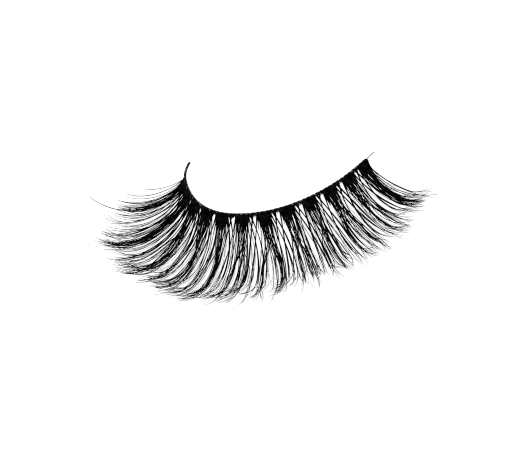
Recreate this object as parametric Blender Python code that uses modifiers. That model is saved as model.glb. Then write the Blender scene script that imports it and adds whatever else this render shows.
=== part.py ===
"""A false eyelash strip at its real size: a thin curved band that carries twelve fans of hair.

The strip lies on a surface as it would by itself. The bellies of its curled hair touch the surface at
Z = 0, and the band stands level a little above it. X runs from the outer corner of the eye to the inner
corner, the hair points to the front (-Y) and curls up (+Z). The tables are in millimetres and degrees.
"""

from math import cos, degrees, pi, radians, sin

import bmesh
import bpy
import numpy as np
from mathutils import Vector

MM = 0.001
WELD = 1e-6
SHARP_DEG = 40.0

MATERIALS = (
    # name, colour, roughness, transmission
    ("black_hair", (0.012, 0.011, 0.011), 0.42, 0.0),
    ("black_thread", (0.02, 0.019, 0.019), 0.5, 0.0),
    ("clear_thread", (0.75, 0.75, 0.76), 0.15, 0.6),
)

# The band is a level chain of arcs, from its bare outer end to the inner corner.
BAND_START_MM = (-12.45, 13.2)
BAND_HEADING_DEG = -106.3
BAND_LEVEL_MM = 1.72
BAND_WIDTH_MM = 0.42
BAND_HEIGHT_MM = 0.34
BAND_CHAMFER_MM = 0.08
BAND_STEP_MM = 0.8
BARE_END_MM = 2.7
BARE_END_SHARE = 0.6
BARE_END_POWER = 3
BAND_SECTIONS = (
    # name, length_mm, turn_deg
    ("bare_end", 3.0, 35.3),
    ("outer_corner", 4.0, 19.2),
    ("outer_arm", 7.0, 41.4),
    ("front", 9.0, 35.2),
    ("inner_arm", 10.0, 32.0),
)
BAND_LENGTH_MM = sum(length for _, length, _ in BAND_SECTIONS)

# The clear thread that sticks out past the inner corner.
THREAD_LENGTH_MM = 1.3
THREAD_WIDTH_MM = 0.12
THREAD_SIDES = 6
THREAD_GAP_MM = 0.1

# The fans of hair, from the outer corner to the inner one. Each serves span_mm of the band. Its hair sinks
# belly_mm below the band, ends upwards by lift_deg, and its heading in plan turns by sweep_deg.
FANS = (
    # name, span_mm, length_mm, lift_deg, belly_mm, heading_deg, sweep_deg
    ("fan_01", 1.9, 10.0, 42.0, 1.05, -145.0, -8.0),
    ("fan_02", 1.9, 13.0, 44.0, 1.65, -125.0, -22.0),
    ("fan_03", 2.3, 14.5, 40.0, 1.60, -111.0, -11.0),
    ("fan_04", 2.4, 16.5, 38.0, 1.60, -99.0, -8.0),
    ("fan_05", 2.8, 16.5, 34.0, 1.60, -90.0, -10.0),
    ("fan_06", 2.8, 16.0, 29.0, 1.60, -82.0, -7.0),
    ("fan_07", 2.9, 16.5, 30.0, 1.60, -70.0, -5.0),
    ("fan_08", 3.0, 16.5, 30.0, 1.60, -63.0, -3.0),
    ("fan_09", 2.8, 15.5, 26.0, 1.60, -60.0, 2.0),
    ("fan_10", 2.8, 14.8, 22.0, 1.60, -57.0, 10.0),
    ("fan_11", 2.8, 14.0, 19.0, 1.60, -55.0, 21.0),
    ("fan_12", 1.9, 11.5, 18.0, 1.65, -52.0, 33.0),
)
MOST_DROP_DEG = 60.0
HALVINGS = 30

# A fan starts as a dense root block. Shares of the fan's span are measured from its middle.
BLOCK_SHARE = 0.32
BLOCK_DEPTH_MM = 1.7
BLOCK_THICKNESS_MM = 0.46
BLOCK_GAP_MM = 0.22
BLOCK_COLUMNS = 4
BLOCK_ROWS = 2

# The locks that spread out of every root block, from across = -1 to 1.
LOCK_ROOT_SHARE = 0.24
LOCK_OPENING_SHARE = 0.48
LOCK_FLARE_DEG = 1.8
LOCK_INSIDE_MM = 0.5
LOCK_WIDTH_SHARE = 0.27
LOCK_FLATNESS = 0.4
LOCK_NECK_SHARE = 0.55
LOCK_TIP_SHARE = 0.12
LOCK_POINT_POWER = 3
LOCK_SIDES = 6
LOCK_STEPS = 8
LOCKS = (
    # name, across, length_share, lift_extra_deg, sweep_extra_deg
    ("outer_edge", -1.0, 0.90, 5.0, -3.0),
    ("outer", -0.5, 1.00, -3.0, 0.0),
    ("middle", 0.0, 0.93, 5.0, 2.0),
    ("inner", 0.5, 1.00, -3.0, 1.0),
    ("inner_edge", 1.0, 0.88, 4.0, 3.0),
)

# The two small bundles that start beside the root block and cross the fan's edge locks.
CROSSING_ROOT_SHARE = 0.42
CROSSING_LEAN_DEG = 17.0
CROSSING_LENGTH_MM = 5.0
CROSSING_WIDTH_MM = 0.2
CROSSING_STEPS = 4
CROSSINGS = (
    # name, side
    ("outer_crossing", -1.0),
    ("inner_crossing", 1.0),
)


def clear_scene():
    for obj in list(bpy.data.objects):
        bpy.data.objects.remove(obj)


def new_collection(name, parent, helper=False):
    collection = bpy.data.collections.new(name)
    parent.children.link(collection)
    collection.hide_render = helper
    return collection


def new_material(name, colour, roughness, transmission):
    material = bpy.data.materials.new(name)
    material.use_nodes = True
    shader = material.node_tree.nodes["Principled BSDF"]
    shader.inputs["Base Color"].default_value = (*colour, 1.0)
    shader.inputs["Roughness"].default_value = roughness
    shader.inputs["Metallic"].default_value = 0.0
    shader.inputs["Transmission Weight"].default_value = transmission
    material.diffuse_color = (*colour, 1.0)
    return material


def band_at(station):
    """The point (x, y) in millimetres and the heading in radians at this length along the band."""
    x, y = BAND_START_MM
    heading = radians(BAND_HEADING_DEG)
    left = station
    for _, length, turn in BAND_SECTIONS:
        used = min(left, length)
        half_bend = radians(turn) * used / length / 2
        chord = used * sin(half_bend) / half_bend if half_bend else used
        x += chord * cos(heading + half_bend)
        y += chord * sin(heading + half_bend)
        heading += 2 * half_bend
        left -= used
        if left <= 0:
            break
    return x, y, heading


def beside_band(station, distance):
    """The point this far from the band's middle line on the side of the hair, at the band's level."""
    x, y, heading = band_at(station)
    return np.array([x + distance * sin(heading), y - distance * cos(heading), BAND_LEVEL_MM])


def fan_stations():
    """The length along the band at which each fan has its middle."""
    spans = np.array([span for _, span, *_ in FANS])
    return BARE_END_MM + np.cumsum(spans) - spans / 2


def hair_at(station):
    """Length, lift, belly, heading and sweep of the hair at this station, between the fans' rows."""
    middles = fan_stations()
    columns = np.array([row[2:] for row in FANS]).T
    return [float(np.interp(station, middles, column)) for column in columns]


def drop_for(length, lift, belly):
    """The angle at which a hair sets off downwards so that its lowest point is this far below its root."""
    low, high = 0.0, radians(MOST_DROP_DEG)
    for _ in range(HALVINGS):
        drop = (low + high) / 2
        if length * (1 - cos(drop)) / (drop + radians(lift)) < belly:
            low = drop
        else:
            high = drop
    return degrees(drop)


def hair_path(root, length, drop, lift, heading, sweep, steps):
    """Points along a hair that drops, levels out and curls up while it turns in plan."""
    points = [np.array(root)]
    for step in range(steps):
        along = (step + 0.5) / steps
        pitch = radians(-drop + (lift + drop) * along)
        turn = radians(heading + sweep * along)
        direction = np.array([cos(pitch) * cos(turn), cos(pitch) * sin(turn), sin(pitch)])
        points.append(points[-1] + direction * length / steps)
    return points


def new_profile(name, corners, collection):
    """A closed outline that a curve carries along as its section."""
    curve = bpy.data.curves.new(name, "CURVE")
    spline = curve.splines.new("POLY")
    spline.points.add(len(corners) - 1)
    for point, (across, up) in zip(spline.points, corners):
        point.co = (across * MM, up * MM, 0.0, 1.0)
    spline.use_cyclic_u = True
    profile = bpy.data.objects.new(name, curve)
    collection.objects.link(profile)
    profile.hide_render = True
    profile.display_type = "WIRE"
    return profile


def swept_mesh(name, points, radii, profile):
    """The section carried along the points, level across and scaled by each radius, as a closed mesh."""
    curve = bpy.data.curves.new(name, "CURVE")
    curve.dimensions = "3D"
    curve.twist_mode = "Z_UP"
    curve.bevel_mode = "OBJECT"
    curve.bevel_object = profile
    curve.use_fill_caps = True
    spline = curve.splines.new("POLY")
    spline.points.add(len(points) - 1)
    for place, point, radius in zip(spline.points, points, radii):
        place.co = (*(Vector(point) * MM), 1.0)
        place.radius = radius
    guide = bpy.data.objects.new(name, curve)
    bpy.context.scene.collection.objects.link(guide)
    graph = bpy.context.evaluated_depsgraph_get()
    mesh = bpy.data.meshes.new_from_object(guide.evaluated_get(graph))
    bpy.data.objects.remove(guide)
    shell = bmesh.new()
    shell.from_mesh(mesh)
    bmesh.ops.remove_doubles(shell, verts=shell.verts, dist=WELD)
    bmesh.ops.recalc_face_normals(shell, faces=shell.faces)
    shell.to_mesh(mesh)
    shell.free()
    return mesh


def new_piece(name, mesh, material, collection):
    piece = bpy.data.objects.new(name, mesh)
    mesh.materials.clear()
    mesh.materials.append(material)
    collection.objects.link(piece)
    return piece


def shade_round(piece):
    piece.data.shade_smooth()
    piece.data.set_sharp_from_angle(angle=radians(SHARP_DEG))


def band_profile_corners():
    """A flat band section with chamfered corners, so that its underside stays a flat glue face."""
    half_width = BAND_WIDTH_MM / 2
    half_height = BAND_HEIGHT_MM / 2
    near_side = half_width - BAND_CHAMFER_MM
    near_top = half_height - BAND_CHAMFER_MM
    quarter = [(half_width, near_top), (near_side, half_height)]
    upper = quarter + [(-across, up) for across, up in reversed(quarter)]
    return upper + [(across, -up) for across, up in reversed(upper)]


def build_band(material, parts, helpers):
    """The band from end to end, slimmer along its bare outer end."""
    profile = new_profile("band_profile", band_profile_corners(), helpers)
    stations = np.linspace(0.0, BAND_LENGTH_MM, round(BAND_LENGTH_MM / BAND_STEP_MM) + 1)
    points = [beside_band(station, 0.0) for station in stations]
    swell = np.clip(stations / BARE_END_MM, 0.0, 1.0) ** BARE_END_POWER
    radii = BARE_END_SHARE + (1 - BARE_END_SHARE) * swell
    band = new_piece("band", swept_mesh("band", points, radii, profile), material, parts)
    shade_round(band)


def build_thread_end(material, parts):
    """A short straight rod that goes on from the band's inner end."""
    x, y, heading = band_at(BAND_LENGTH_MM)
    middle = THREAD_GAP_MM + THREAD_LENGTH_MM / 2
    shell = bmesh.new()
    bmesh.ops.create_cone(
        shell,
        cap_ends=True,
        segments=THREAD_SIDES,
        radius1=THREAD_WIDTH_MM / 2 * MM,
        radius2=THREAD_WIDTH_MM / 2 * MM,
        depth=THREAD_LENGTH_MM * MM,
    )
    mesh = bpy.data.meshes.new("thread_end")
    shell.to_mesh(mesh)
    shell.free()
    thread = new_piece("thread_end", mesh, material, parts)
    centre = Vector((x + middle * cos(heading), y + middle * sin(heading), BAND_LEVEL_MM))
    thread.location = centre * MM
    thread.rotation_euler = (pi / 2, 0.0, heading - pi / 2)
    shade_round(thread)


def root_block_mesh(name, middle, span):
    """The open surface of a root block, which Solidify thickens: a sheet of hair leaving the band."""
    shell = bmesh.new()
    start = BAND_WIDTH_MM / 2 + BLOCK_GAP_MM
    rows = []
    for column in range(BLOCK_COLUMNS + 1):
        across = -1.0 + 2.0 * column / BLOCK_COLUMNS
        root = beside_band(middle + across * BLOCK_SHARE * span, start)
        length, lift, belly, heading, _ = hair_at(middle + across * LOCK_OPENING_SHARE * span)
        drop = drop_for(length, lift, belly)
        path = hair_path(root, BLOCK_DEPTH_MM, drop, -drop, heading, 0.0, BLOCK_ROWS)
        rows.append([shell.verts.new(Vector(point) * MM) for point in path])
    for near, far in zip(rows, rows[1:]):
        for row in range(BLOCK_ROWS):
            shell.faces.new((near[row], near[row + 1], far[row + 1], far[row]))
    bmesh.ops.recalc_face_normals(shell, faces=shell.faces)
    mesh = bpy.data.meshes.new(name)
    shell.to_mesh(mesh)
    shell.free()
    return mesh


def lock_radii(width, steps):
    """Half widths along a lock: slim at the root, fullest at the middle, pointed at the tip."""
    along = np.linspace(0.0, 1.0, steps + 1)
    belly = LOCK_NECK_SHARE + (1 - LOCK_NECK_SHARE) * np.sin(pi * along)
    swell = belly * (1.0 - along**LOCK_POINT_POWER)
    return width / 2 * (LOCK_TIP_SHARE + (1 - LOCK_TIP_SHARE) * swell)


def build_lock(name, fan_middle, span, lock, profile):
    """One lock of a fan, rooted inside its block and spread towards its own part of the span."""
    _, across, length_share, lift_extra, sweep_extra = lock
    root_station = fan_middle + across * LOCK_ROOT_SHARE * span
    field_station = fan_middle + across * LOCK_OPENING_SHARE * span
    length, lift, belly, heading, sweep = hair_at(field_station)
    length *= length_share
    lift += lift_extra
    path = hair_path(
        beside_band(root_station, BAND_WIDTH_MM / 2 + LOCK_INSIDE_MM),
        length,
        drop_for(length, lift, belly),
        lift,
        heading + across * LOCK_FLARE_DEG,
        sweep + sweep_extra,
        LOCK_STEPS,
    )
    return swept_mesh(name, path, lock_radii(LOCK_WIDTH_SHARE * span, LOCK_STEPS), profile)


def build_crossing(name, fan_middle, span, side, profile):
    """A short bundle that leaves the band beside the block and leans over the fan's edge lock."""
    length, lift, belly, heading, _ = hair_at(fan_middle)
    drop = drop_for(length, lift, belly)
    share = CROSSING_LENGTH_MM / length
    path = hair_path(
        beside_band(fan_middle + side * CROSSING_ROOT_SHARE * span, BAND_WIDTH_MM / 2 + BLOCK_GAP_MM),
        CROSSING_LENGTH_MM,
        drop,
        -drop + (lift + drop) * share,
        heading - side * CROSSING_LEAN_DEG,
        0.0,
        CROSSING_STEPS,
    )
    return swept_mesh(name, path, lock_radii(CROSSING_WIDTH_MM, CROSSING_STEPS), profile)


def build_fan(row, middle, material, parts, helpers, profile):
    """One fan: a root block with its locks and its two crossing bundles fused to it."""
    name, span = row[:2]
    meshes = [
        (f"{name}_{lock[0]}", build_lock(f"{name}_{lock[0]}", middle, span, lock, profile))
        for lock in LOCKS
    ]
    meshes += [
        (f"{name}_{label}", build_crossing(f"{name}_{label}", middle, span, side, profile))
        for label, side in CROSSINGS
    ]
    fan = new_piece(name, root_block_mesh(name, middle, span), material, parts)
    thicken = fan.modifiers.new("thickness", "SOLIDIFY")
    thicken.thickness = BLOCK_THICKNESS_MM * MM
    thicken.offset = 0.0
    for label, mesh in meshes:
        lock = new_piece(label, mesh, material, helpers)
        lock.hide_render = True
        lock.display_type = "WIRE"
        fuse = fan.modifiers.new(label, "BOOLEAN")
        fuse.operation = "UNION"
        fuse.object = lock
        fuse.solver = "EXACT"
    shade_round(fan)


def main():
    clear_scene()
    parts = new_collection("false_eyelash_strip", bpy.context.scene.collection)
    helpers = new_collection("guides", bpy.context.scene.collection, helper=True)
    materials = {row[0]: new_material(*row) for row in MATERIALS}
    build_band(materials["black_thread"], parts, helpers)
    build_thread_end(materials["clear_thread"], parts)
    angles = [2 * pi * side / LOCK_SIDES for side in range(LOCK_SIDES)]
    corners = [(cos(angle), LOCK_FLATNESS * sin(angle)) for angle in angles]
    profile = new_profile("lock_profile", corners, helpers)
    for row, middle in zip(FANS, fan_stations()):
        build_fan(row, middle, materials["black_hair"], parts, helpers, profile)


main()
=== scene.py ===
"""The looks of a false eyelash strip: fine tapered hair in knotted fans on a thin thread band.

Lengths are millimetres and angles degrees, as in the part's own source, and become metres in the meshes.
X runs from the outer corner to the inner corner, the hair points to the front (-Y) and curls up (+Z).
"""

from math import cos, degrees, pi, radians, sin

import bpy
import numpy as np
from mathutils import Matrix, Vector


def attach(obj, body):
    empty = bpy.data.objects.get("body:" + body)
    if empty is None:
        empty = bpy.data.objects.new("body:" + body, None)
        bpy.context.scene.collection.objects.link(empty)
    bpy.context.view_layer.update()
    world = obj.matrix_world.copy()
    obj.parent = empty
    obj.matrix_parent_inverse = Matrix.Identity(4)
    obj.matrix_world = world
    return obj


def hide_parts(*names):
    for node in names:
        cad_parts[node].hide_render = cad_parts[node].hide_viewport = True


MM = 0.001

# The seed was picked from ten, 20 to 29, by how near their renders came to the photograph.
SEED = 21

# The band, as the part has it. Its start, heading, turns and bare end weren't chosen by hand: they come
# from a least-squares fit, made outside this script, to points read off the photograph.
BAND_START_MM = (-12.45, 13.2)
BAND_HEADING_DEG = -106.3
BAND_LEVEL_MM = 1.72
BARE_END_MM = 2.7
BAND_SECTIONS = (
    # name, length_mm, turn_deg
    ("bare_end", 3.0, 35.3),
    ("outer_corner", 4.0, 19.2),
    ("outer_arm", 7.0, 41.4),
    ("front", 9.0, 35.2),
    ("inner_arm", 10.0, 32.0),
)
BAND_LENGTH_MM = sum(length for _, length, _ in BAND_SECTIONS)

# The fans of hair, as the part has them. Only the bellies were set one by one. The spans are rounded from
# places that a program outside this script found along the band, the other values from such fits.
FANS = (
    # name, span_mm, length_mm, lift_deg, belly_mm, heading_deg, sweep_deg
    ("fan_01", 1.9, 10.0, 42.0, 1.05, -145.0, -8.0),
    ("fan_02", 1.9, 13.0, 44.0, 1.65, -125.0, -22.0),
    ("fan_03", 2.3, 14.5, 40.0, 1.60, -111.0, -11.0),
    ("fan_04", 2.4, 16.5, 38.0, 1.60, -99.0, -8.0),
    ("fan_05", 2.8, 16.5, 34.0, 1.60, -90.0, -10.0),
    ("fan_06", 2.8, 16.0, 29.0, 1.60, -82.0, -7.0),
    ("fan_07", 2.9, 16.5, 30.0, 1.60, -70.0, -5.0),
    ("fan_08", 3.0, 16.5, 30.0, 1.60, -63.0, -3.0),
    ("fan_09", 2.8, 15.5, 26.0, 1.60, -60.0, 2.0),
    ("fan_10", 2.8, 14.8, 22.0, 1.60, -57.0, 10.0),
    ("fan_11", 2.8, 14.0, 19.0, 1.60, -55.0, 21.0),
    ("fan_12", 1.9, 11.5, 18.0, 1.65, -52.0, 33.0),
)
MOST_DROP_DEG = 60.0
HALVINGS = 24

# One hair: a thin tube, thickest in the knot, that tapers to its tip. Hairs differ in the share of their
# length that is kept and of their width, and each strays to its sides in a number of turns. side and rise
# are standard deviations, against the size of the straying.
HAIRS = {
    # kind: (width_mm, knot_swell, knot_mm)
    "strand": (0.096, 1.4, 1.4),
    "block": (0.1, 0.6, 1.8),
    "loose": (0.045, 0.6, 1.8),
    "single": (0.08, 0.4, 1.8),
}
HAIR_TIP_SHARE = 0.3
HAIR_TAPER_POWER = 4.5
HAIR_SIDES = 4
HAIR_STEPS = 22
HAIR_KEPT = (0.93, 1.0)
HAIR_WIDTH_SHARE = (0.75, 1.1)
WANDER_TURNS = (0.6, 2.2)
WANDER_SIDE = 0.6
WANDER_RISE = 0.8
CURL_FROM = 0.55
END_CURL_DEG = 8.0
END_HOOK_DEG = 8.0
LOWEST_MM = 0.03

# Places across a fan, root and field, are in half spans. root is where a strand or clump leaves the band and
# field is the direction that it takes between the neighbouring fans. lean is the angle off that direction at
# the root, which fades out over fade_mm. share is its length against the fan's.
STRANDS = (
    # name, root, field, lean_deg, fade_mm, share, lift_extra_deg
    ("gap_a", -1.22, -0.62, 12.0, 4.5, 1.09, 2.0),
    ("gap_b", 1.05, 0.58, -12.0, 4.5, 1.08, 8.0),
    ("side_a", -0.66, -0.40, 14.0, 2.5, 1.07, 4.0),
    ("side_b", 0.66, 0.40, -14.0, 2.5, 1.04, 1.0),
    ("edge_a", -0.55, -1.12, -9.0, 7.0, 1.08, 6.0),
    ("edge_b", 0.55, 1.12, 9.0, 7.0, 1.06, 0.0),
)
STRAND_MARKS = (0.0, 0.12, 0.35, 0.6, 1.0)
STRAND_HALF_MM = (0.03, 0.04, 0.08, 0.13, 0.11)
STRAND_TWIST_DEG = 200.0
STRAND_HAIRS = 4
STRAND_WANDER_MM = 0.05

# The block's own hairs start side by side and soon gather in these wisps. even and gathered weigh how many of
# them each wisp takes where the fans are even and where they are drawn to their middles.
WISPS = (
    # field, share, lift_extra_deg, even, gathered
    (-0.95, 1.07, 3.0, 1.0, 0.5),
    (-0.58, 1.12, 8.0, 1.0, 0.8),
    (-0.18, 1.06, 1.0, 1.0, 1.8),
    (0.18, 1.11, 6.0, 1.0, 1.6),
    (0.58, 1.07, 2.0, 1.0, 0.8),
    (0.95, 1.10, 5.0, 1.0, 0.5),
)
BLOCK_SHARE = 0.52
WISP_FROM = 0.03
WISP_TO = 0.5
WISP_HOLD = 0.9
WISP_FREE_FROM = 0.7
WISP_FREE = 0.35
WISP_MARKS = (0.0, 0.35, 0.65, 0.88, 1.0)
WISP_HALF_MM = (0.1, 0.22, 0.25, 0.15, 0.09)
WISP_TWIST_DEG = 300.0
BLOCK_HEIGHTS_MM = (-0.1, 0.0, 0.1)
BLOCK_WANDER_MM = 0.08
SHORT_HAIRS = 30
SHORT_MM = (1.3, 2.5)
SHORT_HEIGHT_MM = 0.12
LOOSE_FIELD = 1.3
LOOSE_HEIGHT_MM = 0.1
LOOSE_WANDER_MM = 0.25
LOOSE_BEND = 0.7

# How unlike their neighbours the strands, wisps and hairs are. share and lean have the lowest and highest
# factor. field, lift and lean_deg are standard deviations, and root is the most that a root is moved.
STRAND_SHARE = (0.95, 1.02)
STRAND_LEAN = (0.85, 1.15)
STRAND_LIFT_DEG = 1.5
STRAND_FIELD = 0.08
STRAND_HAIR_LIFT_DEG = 1.5
STRAND_HAIR_FIELD = 0.06
WISP_SHARE = (0.97, 1.02)
WISP_LIFT_DEG = 1.8
WISP_FIELD = 0.15
WISP_LEAN_DEG = 6.0
WISP_FADE_MM = 8.0
BLOCK_ROOT = 0.03
BLOCK_LIFT_DEG = 4.0
BLOCK_LEAN_DEG = 5.0
BLOCK_FADE_MM = 4.0
SHORT_LIFT_DEG = 6.0
SHORT_LEAN_DEG = 4.0
SHORT_FADE_MM = 4.0
LOOSE_SHARE = (0.8, 1.12)
LOOSE_LIFT_DEG = 8.0
LOOSE_LEAN_DEG = 7.0
LOOSE_FADE_MM = 8.0

# How the fans change along the strip: dense and even at the outer corner, opener and drawn to their
# middles at the inner one. curl and hook are how far the hairs' ends bend up and aside.
CHARACTER = (
    # station_mm, block_hairs, spread, gathered, loose_hairs, reach, curl_deg, hook_deg
    (3.7, 8, 1.00, 0.0, 10, 0.93, 6.0, -6.0),
    (5.6, 28, 0.95, 0.0, 14, 1.05, 12.0, -8.0),
    (7.6, 28, 0.95, 0.0, 12, 1.04, 14.0, -8.0),
    (10.0, 23, 0.90, 0.2, 12, 0.94, 16.0, -12.0),
    (13.0, 21, 0.90, 0.2, 12, 1.02, 16.0, -14.0),
    (15.4, 22, 0.85, 0.4, 13, 1.03, 15.0, -10.0),
    (18.2, 24, 0.85, 0.5, 13, 1.02, 12.0, -5.0),
    (21.2, 18, 0.80, 0.8, 10, 1.00, 8.0, 2.0),
    (24.1, 18, 0.78, 1.0, 10, 1.03, 6.0, 4.0),
    (27.0, 19, 0.75, 1.2, 11, 1.02, 4.0, 6.0),
    (29.8, 19, 0.75, 1.1, 10, 1.02, 2.0, 8.0),
    (32.0, 24, 0.95, 0.4, 8, 1.01, 2.0, 8.0),
)

# Thin bunches of one to three hairs that stand out from their fans. The first eight rows are a fit like
# the band's, and weren't chosen by hand. The last three are not from the fit.
STRAYS = (
    # fan, kind, hairs, station_mm, length_mm, lift_deg, heading_deg, sweep_deg, curl_deg, hook_deg
    ("fan_01", "single", 2, 3.15, 13.6, 42.1, -132.9, -60.8, 5.9, -4.5),
    ("fan_01", "single", 2, 2.70, 6.2, 41.6, -187.4, 46.9, 7.3, -5.4),
    ("fan_01", "single", 2, 2.70, 8.5, 42.0, -165.0, 11.0, 8.1, -5.8),
    ("fan_01", "single", 1, 2.80, 8.5, 42.1, -152.9, -11.3, 1.7, -1.0),
    ("fan_01", "strand", 2, 3.00, 9.5, 42.1, -140.1, -24.4, -6.3, 2.6),
    ("fan_01", "strand", 2, 3.35, 10.1, 42.1, -134.2, -32.3, -4.5, 2.7),
    ("fan_08", "strand", 2, 21.30, 16.8, 31.6, -75.3, 1.0, 7.0, -27.5),
    ("fan_12", "single", 2, 32.95, 13.5, 15.3, -57.2, 57.3, 2.8, -8.9),
    ("fan_12", "strand", 3, 32.80, 11.8, 17.0, -57.0, 48.0, 2.0, 0.0),
    ("fan_12", "strand", 3, 32.50, 11.6, 17.0, -56.0, 42.0, 2.0, 0.0),
    ("fan_12", "strand", 2, 32.20, 11.6, 17.0, -55.0, 38.0, 2.0, 0.0),
)
STRAY_MARKS = (0.0, 1.0)
STRAY_HALF_MM = (0.03, 0.06)

# The band's threads, the knots wound over them and the stubs of the tied hairs.
THREAD_RADIUS_MM = 0.075
THREAD_OFFSET_MM = 0.1
THREAD_TWIST_MM = 1.2
THREAD_SIDES = 6
THREAD_STEPS = 300
BAND_SET_BACK_MM = -0.03
BARE_TIP_SHARE = 0.9
KNOT_PITCH_MM = 0.16
KNOT_OFFSET_MM = 0.13
KNOT_RADIUS_MM = 0.04
KNOT_STEPS = 8
STUB_PITCH_MM = 0.05
STUB_MM = (0.35, 0.6)
STUB_LEAN_MM = 0.06
STUB_RADIUS_MM = 0.06
STUB_STEPS = 4
STUB_DROP = 0.2
STUB_TIP_SHARE = 0.3

# The materials. dark and light are the ends of the colour's ramp, and blend is where in the noise they lie.
HAIR_NOISE = 2000.0
HAIR_DARK = (0.0004, 0.0004, 0.0004)
HAIR_LIGHT = (0.016, 0.015, 0.015)
HAIR_BLEND = (0.45, 0.8)
HAIR_ROUGHNESS = (0.38, 0.6)
HAIR_SPECULAR = 0.03
THREAD_NOISE = 2500.0
THREAD_DETAIL = 4.0
THREAD_DARK = (0.002, 0.002, 0.002)
# The thread's light end is a painted sheen, laid in specks where the noise is high.
THREAD_PAINTED_SHEEN = (0.3, 0.3, 0.3)
THREAD_BLEND = (0.5, 0.62)
THREAD_ROUGHNESS = (0.45, 0.75)
THREAD_SPECULAR = 0.2
THREAD_BUMP = 0.3
THREAD_BUMP_M = 0.00002
CLEAR_NOISE = 1200.0
CLEAR_DARK = (0.12, 0.12, 0.125)
CLEAR_LIGHT = (0.26, 0.26, 0.265)
CLEAR_ROUGHNESS = (0.12, 0.25)
FLOOR_NOISE = 6.0
FLOOR_DARK = (0.34, 0.34, 0.34)
FLOOR_LIGHT = (0.36, 0.36, 0.36)
FLOOR_ROUGHNESS = 0.9
FLOOR_SPECULAR = 0.1
WHITE = (1.0, 1.0, 1.0, 1.0)

# The camera of the photograph, and where it sees the middle of the band's front. Its angles and scale
# come from such fits as well. The elevation was chosen among several that fit about equally well.
IMAGE_PX = (528, 458)
MM_PER_PX = 0.1227
VIEW_AZIMUTH_DEG = 29.0
VIEW_ELEVATION_DEG = 40.0
VIEW_ROLL_DEG = 25.0
AIM_MM = (-0.65, 2.4, 1.72)
AIM_PX = (260.0, 216.5)
CAMERA_DISTANCE_MM = 1500.0
SENSOR_MM = 36.0
CLIP_START_M = 0.01
CLIP_END_M = 20.0
FILTER_PX = 1.15

FLOOR_SIZE_M = 4.0
FLOOR_GLOW = 0.87
SKY_STRENGTH = 0.8


def band_at(station):
    """The point (x, y) in millimetres and the heading in radians at this length along the band."""
    x, y = BAND_START_MM
    heading = radians(BAND_HEADING_DEG)
    left = station
    for _, length, turn in BAND_SECTIONS:
        used = min(left, length)
        half_bend = radians(turn) * used / length / 2
        chord = used * sin(half_bend) / half_bend if half_bend else used
        x += chord * cos(heading + half_bend)
        y += chord * sin(heading + half_bend)
        heading += 2 * half_bend
        left -= used
        if left <= 0:
            break
    return x, y, heading


def beside_band(station, distance, height=0.0):
    """The point this far out from the band's middle line and this high above it."""
    x, y, heading = band_at(station)
    level = BAND_LEVEL_MM + height
    return np.array([x + distance * sin(heading), y - distance * cos(heading), level])


def fan_stations():
    spans = np.array([span for _, span, *_ in FANS])
    return BARE_END_MM + np.cumsum(spans) - spans / 2


def hair_at(station):
    """Length, lift, belly, heading and sweep of the hair at this station, between the fans' rows."""
    middles = fan_stations()
    columns = np.array([row[2:] for row in FANS]).T
    return [float(np.interp(station, middles, column)) for column in columns]


def drop_for(length, lift, belly):
    """The angle at which a hair sets off downwards so that its lowest point is this far below its root."""
    low, high = 0.0, radians(MOST_DROP_DEG)
    for _ in range(HALVINGS):
        drop = (low + high) / 2
        if length * (1 - cos(drop)) / (drop + radians(lift)) < belly:
            low = drop
        else:
            high = drop
    return degrees(drop)


def smooth_step(low, high, value):
    share = np.clip((value - low) / (high - low), 0.0, 1.0)
    return share * share * (3 - 2 * share)


def lock_path(root, length, drop, lift, heading, sweep, lean, fade, curl, hook):
    """Points along a lock that drops, levels out and curls up, turns in plan, and bends at its end."""
    step = length / HAIR_STEPS
    along = (np.arange(HAIR_STEPS) + 0.5) / HAIR_STEPS
    end = smooth_step(CURL_FROM, 1.0, along)
    pitch = np.radians(-drop + (lift + drop) * along + curl * end)
    leaning = lean * np.exp(-((along * length / fade) ** 2))
    turn = np.radians(heading + sweep * along + leaning + hook * end)
    ways = np.stack([np.cos(pitch) * np.cos(turn), np.cos(pitch) * np.sin(turn), np.sin(pitch)], axis=1)
    return np.vstack([root, root + np.cumsum(ways * step, axis=0)])


def frames_of(path):
    """The sideways and upward unit vectors at each point of a path."""
    ways = np.gradient(path, axis=0)
    ways /= np.linalg.norm(ways, axis=1)[:, None]
    aside = np.cross(ways, (0.0, 0.0, 1.0))
    aside /= np.linalg.norm(aside, axis=1)[:, None]
    return aside, np.cross(aside, ways)


class Tubes:
    """Collects closed tubes as arrays and makes one mesh of them."""

    def __init__(self, sides):
        self.sides = sides
        self.points = []
        self.faces = []
        self.count = 0

    def add(self, path, radii):
        aside, up = frames_of(path)
        angles = 2 * pi * np.arange(self.sides) / self.sides
        across, above = np.cos(angles)[None, :, None], np.sin(angles)[None, :, None]
        ring = across * aside[:, None] + above * up[:, None]
        points = path[:, None] + ring * np.asarray(radii)[:, None, None]
        self.points.append(points.reshape(-1, 3))
        rows = len(path)
        corner = self.count + np.arange(rows * self.sides).reshape(rows, self.sides)
        after = np.roll(corner, -1, axis=1)
        walls = np.stack([corner[:-1], after[:-1], after[1:], corner[1:]], axis=-1).reshape(-1, 4)
        self.faces += walls.tolist()
        self.faces.append(corner[0][::-1].tolist())
        self.faces.append(corner[-1].tolist())
        self.count += rows * self.sides

    def piece(self, name, material):
        mesh = bpy.data.meshes.new(name)
        mesh.from_pydata((np.vstack(self.points) * MM).tolist(), [], self.faces)
        mesh.materials.append(material)
        mesh.shade_smooth()
        piece = bpy.data.objects.new(name, mesh)
        bpy.context.scene.collection.objects.link(piece)
        return piece


def node_material(name):
    material = bpy.data.materials.new(name)
    material.use_nodes = True
    return material, material.node_tree, material.node_tree.nodes["Principled BSDF"]


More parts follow.
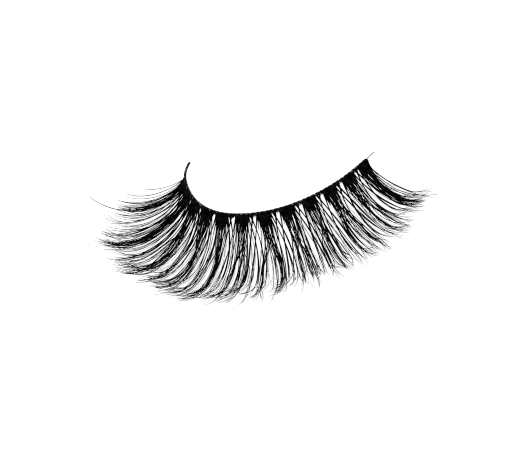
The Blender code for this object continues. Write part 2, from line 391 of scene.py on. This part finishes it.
def add_noise(tree, scale, detail=2.0):
    place = tree.nodes.new("ShaderNodeTexCoord")
    noise = tree.nodes.new("ShaderNodeTexNoise")
    noise.inputs["Scale"].default_value = scale
    noise.inputs["Detail"].default_value = detail
    tree.links.new(place.outputs["Object"], noise.inputs["Vector"])
    return noise


def add_ramp(tree, factor, socket, dark, light, blend=(0.0, 1.0)):
    ramp = tree.nodes.new("ShaderNodeValToRGB")
    for element, colour, position in zip(ramp.color_ramp.elements, (dark, light), blend):
        element.color = (*colour, 1.0)
        element.position = position
    tree.links.new(factor, ramp.inputs["Fac"])
    tree.links.new(ramp.outputs["Color"], socket)


def add_range(tree, factor, socket, low, high):
    spread = tree.nodes.new("ShaderNodeMapRange")
    spread.inputs["To Min"].default_value = low
    spread.inputs["To Max"].default_value = high
    tree.links.new(factor, spread.inputs["Value"])
    tree.links.new(spread.outputs["Result"], socket)


def hair_material():
    """Black synthetic hair: satin, a little uneven in colour and gloss along every hair."""
    material, tree, shader = node_material("black_hair")
    noise = add_noise(tree, HAIR_NOISE)
    add_ramp(tree, noise.outputs["Fac"], shader.inputs["Base Color"], HAIR_DARK, HAIR_LIGHT, HAIR_BLEND)
    add_range(tree, noise.outputs["Fac"], shader.inputs["Roughness"], *HAIR_ROUGHNESS)
    shader.inputs["Specular IOR Level"].default_value = HAIR_SPECULAR
    return material


def thread_material():
    """Black twisted thread, with light grey specks painted in as a faint sheen."""
    material, tree, shader = node_material("black_thread")
    noise = add_noise(tree, THREAD_NOISE, THREAD_DETAIL)
    # The light grey specks are a painted sheen.
    add_ramp(tree, noise.outputs["Fac"], shader.inputs["Base Color"], THREAD_DARK, THREAD_PAINTED_SHEEN, THREAD_BLEND)
    add_range(tree, noise.outputs["Fac"], shader.inputs["Roughness"], *THREAD_ROUGHNESS)
    shader.inputs["Specular IOR Level"].default_value = THREAD_SPECULAR
    bump = tree.nodes.new("ShaderNodeBump")
    bump.inputs["Strength"].default_value = THREAD_BUMP
    bump.inputs["Distance"].default_value = THREAD_BUMP_M
    tree.links.new(noise.outputs["Fac"], bump.inputs["Height"])
    tree.links.new(bump.outputs["Normal"], shader.inputs["Normal"])
    return material


def clear_material():
    """Clear nylon thread, greyish where it is seen against white."""
    material, tree, shader = node_material("clear_thread")
    noise = add_noise(tree, CLEAR_NOISE)
    add_ramp(tree, noise.outputs["Fac"], shader.inputs["Base Color"], CLEAR_DARK, CLEAR_LIGHT)
    add_range(tree, noise.outputs["Fac"], shader.inputs["Roughness"], *CLEAR_ROUGHNESS)
    return material


def floor_material():
    """A pale floor that glows, so that it comes out white."""
    material, tree, shader = node_material("white_floor")
    noise = add_noise(tree, FLOOR_NOISE)
    add_ramp(tree, noise.outputs["Fac"], shader.inputs["Base Color"], FLOOR_DARK, FLOOR_LIGHT)
    shader.inputs["Roughness"].default_value = FLOOR_ROUGHNESS
    shader.inputs["Specular IOR Level"].default_value = FLOOR_SPECULAR
    shader.inputs["Emission Color"].default_value = WHITE
    shader.inputs["Emission Strength"].default_value = FLOOR_GLOW
    return material


def hair_radii(kind, length):
    width, swell, reach = HAIRS[kind]
    along = np.linspace(0.0, 1.0, HAIR_STEPS + 1)
    taper = 1.0 - (1.0 - HAIR_TIP_SHARE) * along**HAIR_TAPER_POWER
    knot = 1.0 + swell * np.exp(-((along * length / reach) ** 2))
    return width / 2 * taper * knot


def shortened(path, kept):
    """The first part of a path, this share of it, with as many points."""
    old = np.linspace(0.0, 1.0, len(path))
    new = np.linspace(0.0, kept, len(path))
    return np.stack([np.interp(new, old, path[:, axis]) for axis in range(3)], axis=1)


class Fan:
    """One fan of hair while it is made: its place, its tubes and its own random numbers."""

    def __init__(self, index, middle, span):
        self.middle = middle
        self.half = span / 2
        self.tubes = Tubes(HAIR_SIDES)
        self.rng = np.random.default_rng((SEED, index))
        stations, *columns = np.array(CHARACTER).T
        here = [np.interp(middle, stations, column) for column in columns]
        block_hairs, self.spread, self.gathered, loose_hairs, self.reach, self.curl, self.hook = here
        self.block_hairs = round(block_hairs)
        self.loose_hairs = round(loose_hairs)

    def course(self, root, field, share, lift_extra, lean, fade, height, curl=0.0, hook=0.0):
        """The way of a hair or of a wisp's middle line from this place across the fan."""
        length, lift, belly, heading, sweep = hair_at(self.middle + field * self.half)
        length *= share * self.reach
        lift += lift_extra
        drop = drop_for(length, lift, belly)
        start = beside_band(self.middle + root * self.half, 0.0, height)
        return lock_path(start, length, drop, lift, heading, sweep, lean, fade, curl, hook), length

    def add(self, path, kind, length):
        """One whole hair along a path, cut to its own length and kept above the floor."""
        kept = self.rng.uniform(*HAIR_KEPT)
        path = shortened(path, kept)
        radii = hair_radii(kind, length * kept) * self.rng.uniform(*HAIR_WIDTH_SHARE)
        path[:, 2] = np.maximum(path[:, 2], radii + LOWEST_MM)
        self.tubes.add(path, radii)

    def wander(self, path, size):
        """A path that strays a little to its sides, more towards its tip."""
        along = np.linspace(0.0, 1.0, len(path))
        aside, up = frames_of(path)
        turns = self.rng.uniform(*WANDER_TURNS)
        phase = self.rng.uniform(0.0, 2 * pi)
        side = np.sin(2 * pi * turns * along + phase) - sin(phase)
        side += self.rng.normal(0.0, WANDER_SIDE) * along
        rise = self.rng.normal(0.0, WANDER_RISE) * along
        return path + aside * (side * size * along)[:, None] + up * (rise * size * along)[:, None]

    def inside(self, path, marks, halves, twist_deg):
        """A hair that winds about a strand's middle line, within the half widths given at these marks."""
        rng = self.rng
        aside, up = frames_of(path)
        along = np.linspace(0.0, 1.0, len(path))
        reach = np.sqrt(rng.uniform(0.0, 1.0)) * np.interp(along, marks, halves)
        angle = rng.uniform(0.0, 2 * pi) + radians(rng.normal(0.0, twist_deg)) * along
        return path + aside * (reach * np.cos(angle))[:, None] + up * (reach * np.sin(angle))[:, None]

    def end_bends(self):
        """How much one hair curls up and bends aside towards its tip, in degrees."""
        return self.rng.normal(self.curl, END_CURL_DEG), self.rng.normal(self.hook, END_HOOK_DEG)

    def add_short(self):
        """A short hair in the root block, which the knots hold beside the long ones."""
        rng = self.rng
        place = rng.uniform(-1.0, 1.0)
        lift_extra = rng.normal(0.0, SHORT_LIFT_DEG)
        lean = rng.normal(0.0, SHORT_LEAN_DEG)
        height = rng.uniform(-SHORT_HEIGHT_MM, SHORT_HEIGHT_MM)
        path, length = self.course(
            place * BLOCK_SHARE, place * self.spread, 1.0, lift_extra, lean, SHORT_FADE_MM, height)
        kept = rng.uniform(*SHORT_MM) / length
        self.tubes.add(shortened(path, kept), hair_radii("block", length * kept))

    def add_strand(self, root, field, lean, fade, share, lift_extra):
        """A few hairs that run tightly together from one root."""
        rng = self.rng
        share *= rng.uniform(*STRAND_SHARE)
        lift_extra += rng.normal(0.0, STRAND_LIFT_DEG)
        lean *= rng.uniform(*STRAND_LEAN)
        field += rng.normal(0.0, STRAND_FIELD)
        for _ in range(STRAND_HAIRS):
            own_field = field + rng.normal(0.0, STRAND_HAIR_FIELD)
            own_lift = lift_extra + rng.normal(0.0, STRAND_HAIR_LIFT_DEG)
            path, length = self.course(root, own_field, share, own_lift, lean, fade, 0.0, *self.end_bends())
            hair = self.inside(path, STRAND_MARKS, STRAND_HALF_MM, STRAND_TWIST_DEG)
            self.add(self.wander(hair, STRAND_WANDER_MM), "strand", length)

    def wisp_courses(self):
        """The middle line of each wisp, with its share and length."""
        rng = self.rng
        wisps = []
        for field, share, lift_extra, _, _ in WISPS:
            field = self.spread * field + rng.normal(0.0, WISP_FIELD)
            share *= rng.uniform(*WISP_SHARE)
            lift_extra += rng.normal(0.0, WISP_LIFT_DEG)
            lean = rng.normal(0.0, WISP_LEAN_DEG)
            middle, length = self.course(
                field * BLOCK_SHARE, field, share, lift_extra, lean, WISP_FADE_MM, 0.0, *self.end_bends())
            wisps.append((share, middle, length))
        return wisps

    def add_block(self):
        """The block's long hairs, side by side at their roots and drawn into the wisps farther out."""
        rng = self.rng
        wisps = self.wisp_courses()
        weights = np.array([even + (drawn - even) * self.gathered for *_, even, drawn in WISPS])
        ends = np.cumsum(weights) / weights.sum()
        along = np.linspace(0.0, 1.0, HAIR_STEPS + 1)
        pull = WISP_HOLD * smooth_step(WISP_FROM, WISP_TO, along)[:, None]
        pull *= 1 - WISP_FREE * smooth_step(WISP_FREE_FROM, 1.0, along)[:, None]
        for count, place in enumerate(np.linspace(0.0, 1.0, self.block_hairs)):
            goal = 1 - place if count % 2 else place
            share, middle, length = wisps[min(np.searchsorted(ends, goal), len(wisps) - 1)]
            root = BLOCK_SHARE * (2 * place - 1 + rng.uniform(-BLOCK_ROOT, BLOCK_ROOT))
            field = self.spread * (2 * place - 1)
            height = rng.choice(BLOCK_HEIGHTS_MM)
            lift_extra = rng.normal(0.0, BLOCK_LIFT_DEG)
            lean = rng.normal(0.0, BLOCK_LEAN_DEG)
            bends = self.end_bends()
            own, _ = self.course(root, field, share, lift_extra, lean, BLOCK_FADE_MM, height, *bends)
            wound = self.inside(middle, WISP_MARKS, WISP_HALF_MM, WISP_TWIST_DEG)
            self.add(self.wander(own * (1 - pull) + wound * pull, BLOCK_WANDER_MM), "block", length)

    def add_loose(self):
        """A thin hair that keeps to no wisp."""
        rng = self.rng
        place = rng.uniform(-1.0, 1.0)
        curl, hook = self.end_bends()
        share = rng.uniform(*LOOSE_SHARE)
        lift_extra = rng.normal(0.0, LOOSE_LIFT_DEG)
        lean = rng.normal(0.0, LOOSE_LEAN_DEG)
        height = rng.uniform(-LOOSE_HEIGHT_MM, LOOSE_HEIGHT_MM)
        path, length = self.course(
            place * BLOCK_SHARE, place * LOOSE_FIELD, share, lift_extra, lean, LOOSE_FADE_MM, height,
            LOOSE_BEND * curl, LOOSE_BEND * hook)
        self.add(self.wander(path, LOOSE_WANDER_MM), "loose", length)

    def add_stray(self, kind, hairs, station, length, lift, heading, sweep, curl, hook):
        """Hairs that stand out from the fan together, on a way of their own."""
        drop = drop_for(length, lift, hair_at(station)[2])
        root = beside_band(station, 0.0)
        path = lock_path(root, length, drop, lift, heading, sweep, 0.0, 1.0, curl, hook)
        for _ in range(hairs):
            self.add(self.inside(path, STRAY_MARKS, STRAY_HALF_MM, STRAND_TWIST_DEG), kind, length)


def build_fans(material):
    for index, (row, middle) in enumerate(zip(FANS, fan_stations())):
        name, span = row[:2]
        fan = Fan(index, middle, span)
        for _, root, field, lean, fade, share, lift_extra in STRANDS:
            fan.add_strand(root, field, lean, fade, share, lift_extra)
        fan.add_block()
        for _ in range(SHORT_HAIRS):
            fan.add_short()
        for _ in range(fan.loose_hairs):
            fan.add_loose()
        for home, *stray in STRAYS:
            if home == name:
                fan.add_stray(*stray)
        piece = fan.tubes.piece(f"{name}_hair", material)
        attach(piece, "root")
        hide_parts(name)


def bare_share(station):
    """How full the band is here: it thins out towards its bare outer end."""
    return float(np.interp(station, (0.0, BARE_END_MM), (BARE_TIP_SHARE, 1.0)))


def wound_path(stations, turn, offset, full):
    """A path that winds about the band's middle line at this offset."""
    return np.array([
        beside_band(station, BAND_SET_BACK_MM + offset * share * cos(angle), offset * share * sin(angle))
        for station, angle, share in zip(stations, turn, full)])


def build_threads(material):
    """Two threads twisted about each other."""
    tubes = Tubes(THREAD_SIDES)
    stations = np.linspace(0.0, BAND_LENGTH_MM, THREAD_STEPS)
    full = np.array([bare_share(station) for station in stations])
    for start in (0.0, pi):
        turn = start - 2 * pi * stations / THREAD_TWIST_MM
        tubes.add(wound_path(stations, turn, THREAD_OFFSET_MM, full), THREAD_RADIUS_MM * full)
    return tubes.piece("band_thread", material)


def build_knots(material):
    """The knots wound over the threads, and the stubs of the hairs that are tied to them."""
    stations = np.arange(0.0, BAND_LENGTH_MM, KNOT_PITCH_MM / KNOT_STEPS)
    turn = 2 * pi * stations / KNOT_PITCH_MM
    full = np.array([bare_share(station) for station in stations])
    knots = Tubes(THREAD_SIDES)
    knots.add(wound_path(stations, turn, KNOT_OFFSET_MM, full), KNOT_RADIUS_MM * full)
    rng = np.random.default_rng(SEED)
    for station in np.arange(BARE_END_MM + STUB_PITCH_MM, BAND_LENGTH_MM, STUB_PITCH_MM):
        out = rng.uniform(*STUB_MM)
        shift = rng.normal(0.0, STUB_LEAN_MM)
        ends = beside_band(station, 0.0), beside_band(station + shift, out, -STUB_DROP * out)
        path = np.linspace(*ends, STUB_STEPS)
        knots.add(path, STUB_RADIUS_MM * np.linspace(1.0, STUB_TIP_SHARE, STUB_STEPS))
    return knots.piece("band_knots", material)


def build_band(thread, hair):
    for piece in (build_threads(thread), build_knots(hair)):
        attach(piece, "root")
        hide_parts("band")


def build_camera():
    width_mm = IMAGE_PX[0] * MM_PER_PX
    data = bpy.data.cameras.new("camera")
    data.sensor_width = SENSOR_MM
    data.lens = SENSOR_MM * CAMERA_DISTANCE_MM / width_mm
    data.clip_start = CLIP_START_M
    data.clip_end = CLIP_END_M
    camera = bpy.data.objects.new("camera", data)
    azimuth, elevation = radians(VIEW_AZIMUTH_DEG), radians(VIEW_ELEVATION_DEG)
    back = Vector((sin(azimuth) * cos(elevation), -cos(azimuth) * cos(elevation), sin(elevation)))
    level = Vector((cos(azimuth), sin(azimuth), 0.0))
    over = back.cross(level)
    roll = radians(VIEW_ROLL_DEG)
    right = level * cos(roll) - over * sin(roll)
    upward = level * sin(roll) + over * cos(roll)
    across = (AIM_PX[0] - IMAGE_PX[0] / 2) * MM_PER_PX
    above = (IMAGE_PX[1] / 2 - AIM_PX[1]) * MM_PER_PX
    place = Vector(AIM_MM) - right * across - upward * above + back * CAMERA_DISTANCE_MM
    turn = Matrix((right, upward, back)).transposed()
    camera.matrix_world = Matrix.Translation(place * MM) @ turn.to_4x4()
    bpy.context.scene.collection.objects.link(camera)
    bpy.context.scene.camera = camera


def build_stage():
    half = FLOOR_SIZE_M / 2
    mesh = bpy.data.meshes.new("floor")
    corners = [(-half, -half, 0), (half, -half, 0), (half, half, 0), (-half, half, 0)]
    mesh.from_pydata(corners, [], [(0, 1, 2, 3)])
    mesh.materials.append(floor_material())
    floor = bpy.data.objects.new("floor", mesh)
    bpy.context.scene.collection.objects.link(floor)
    world = bpy.data.worlds.new("studio")
    world.use_nodes = True
    background = world.node_tree.nodes["Background"]
    background.inputs["Color"].default_value = WHITE
    background.inputs["Strength"].default_value = SKY_STRENGTH
    bpy.context.scene.world = world
    bpy.context.scene.view_settings.view_transform = "Standard"
    bpy.context.scene.cycles.filter_width = FILTER_PX
    # Denoising would smear the hairs, which are thinner than a pixel.
    bpy.context.scene.cycles.use_denoising = False


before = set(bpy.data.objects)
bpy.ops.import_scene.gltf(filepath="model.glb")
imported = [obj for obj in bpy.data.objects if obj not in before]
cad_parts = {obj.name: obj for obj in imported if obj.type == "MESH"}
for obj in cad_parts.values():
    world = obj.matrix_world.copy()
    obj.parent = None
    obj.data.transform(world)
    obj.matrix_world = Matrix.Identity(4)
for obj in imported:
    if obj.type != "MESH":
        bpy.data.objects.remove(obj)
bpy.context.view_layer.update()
build_camera()
build_stage()
hair = hair_material()
build_fans(hair)
build_band(thread_material(), hair)
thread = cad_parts["thread_end"]
thread.material_slots[0].material = clear_material()
